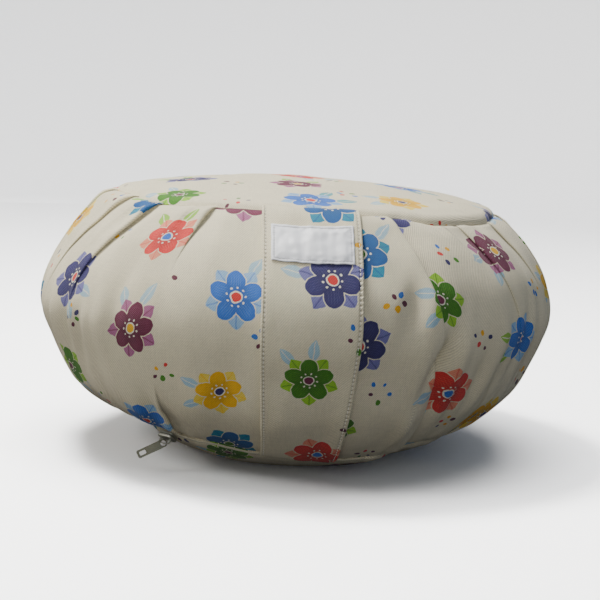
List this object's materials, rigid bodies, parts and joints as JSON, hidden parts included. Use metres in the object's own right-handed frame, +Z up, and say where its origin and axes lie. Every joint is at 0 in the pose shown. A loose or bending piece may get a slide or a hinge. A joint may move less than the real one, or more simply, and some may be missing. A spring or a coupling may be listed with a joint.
{
  "type": "meditation cushion",
  "caption": "Round pleated floor cushion with flat base, gently crowned top panel, carrying band across the side, sewn label and a zip in the base seam.",
  "frame": {"origin": "middle of the flat base, on the surface that the cushion stands on", "axes": "+Z up through the middle of the top; -Y towards the carrying band and its label; +X to the right of the band as seen from the front"},
  "size_m": [0.3594, 0.3616, 0.1899],
  "materials": {
    "cloth": "matt cream cotton twill with a small coloured print",
    "label": "white satin weave, bare",
    "zip_tape": "pale woven tape with a closed nylon chain",
    "zip_metal": "dull nickel plating"
  },
  "bodies": {
    "root": {"filled_body": "cloth", "top_panel": "cloth", "base_panel": "cloth", "carrying_band": "cloth", "sewn_label": "label", "zip_chain": "zip_tape", "zip_slider": "zip_metal", "zip_pull": "zip_metal"}
  },
  "joints": []
}
